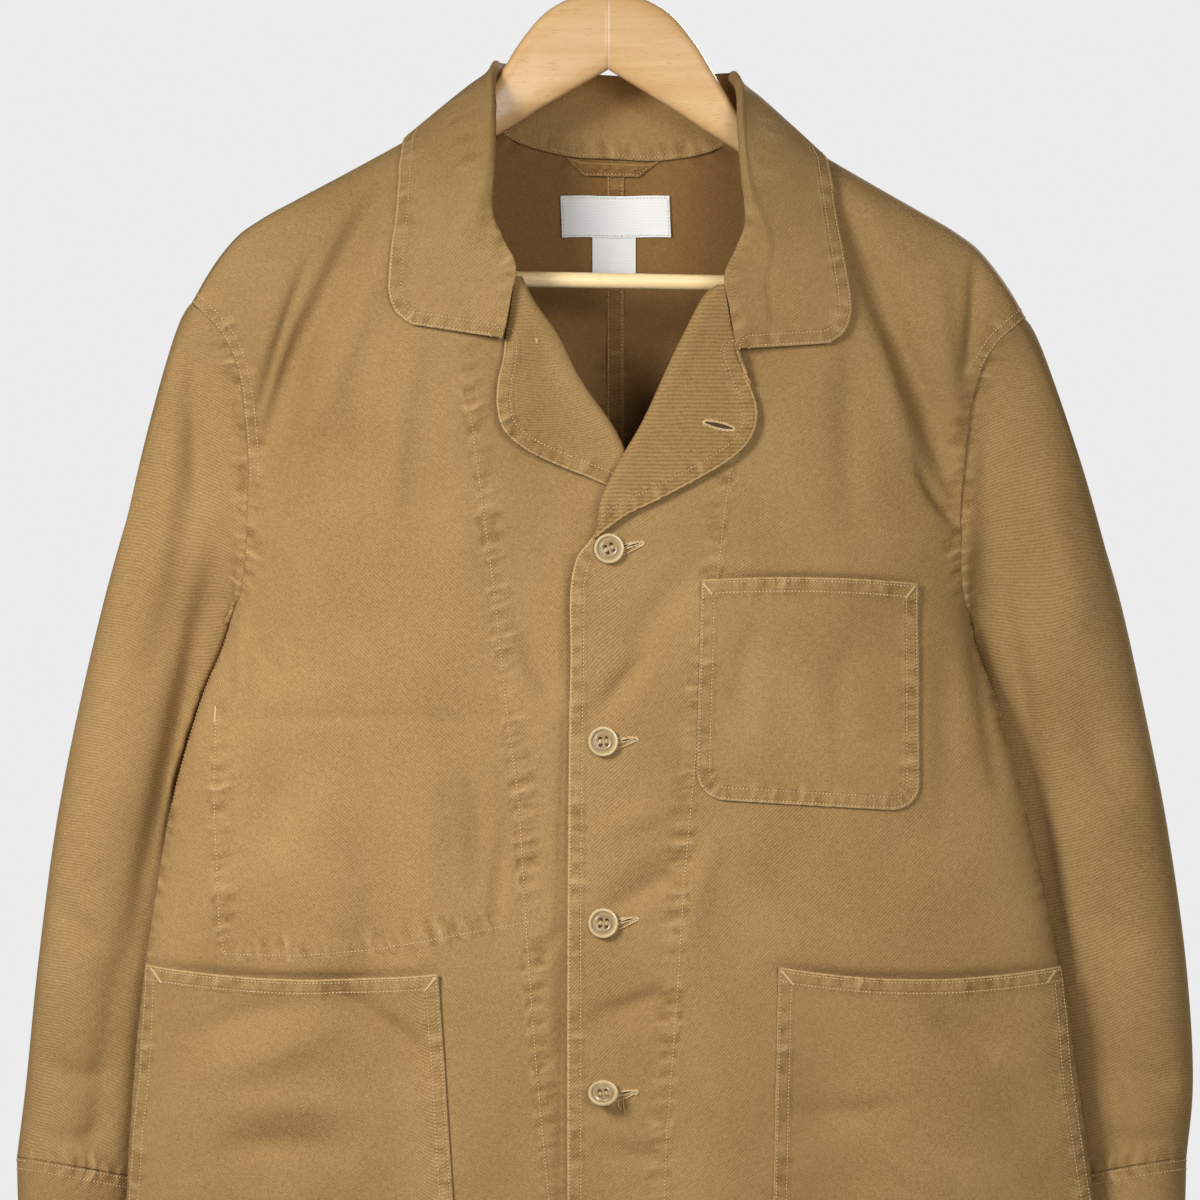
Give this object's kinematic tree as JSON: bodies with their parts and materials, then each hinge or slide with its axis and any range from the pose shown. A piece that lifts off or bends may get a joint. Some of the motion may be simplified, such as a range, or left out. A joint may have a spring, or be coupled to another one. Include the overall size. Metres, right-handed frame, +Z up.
{
  "type": "chore jacket on a wooden hanger",
  "caption": "Tan cotton twill chore jacket with a notched collar, buttoned front and patch pockets, hanging on a wooden hanger with a wire hook.",
  "frame": {"origin": "where a rail bears inside the crown of the hanger's hook", "axes": "+Z up, +X to the viewer's right (the wearer's left), -Y out of the jacket's front"},
  "size_m": [0.7096, 0.1389, 0.8837],
  "materials": {
    "twill_cloth": "washed tan cotton twill",
    "hanger_wood": "clear satin varnish on pale wood",
    "hook_wire": "bright plated wire",
    "button_resin": "polished brown resin with a paler rim",
    "label_satin": "plain white woven satin"
  },
  "bodies": {
    "root": {"front_left": "twill_cloth", "front_right": "twill_cloth", "back_left": "twill_cloth", "back_right": "twill_cloth", "sleeve_left": "twill_cloth", "sleeve_right": "twill_cloth", "cuff_left": "twill_cloth", "cuff_right": "twill_cloth", "collar": "twill_cloth", "lapel_left": "twill_cloth", "lapel_right": "twill_cloth", "chest_pocket": "twill_cloth", "pocket_left": "twill_cloth", "pocket_right": "twill_cloth", "hanging_loop": "twill_cloth", "hanger_arm_left": "hanger_wood", "hanger_arm_right": "hanger_wood", "hanger_bar": "hanger_wood", "hanger_hook": "hook_wire", "button_1": "button_resin", "button_2": "button_resin", "button_3": "button_resin", "button_4": "button_resin", "button_neck": "button_resin", "neck_label": "label_satin", "care_label": "label_satin"}
  },
  "joints": []
}
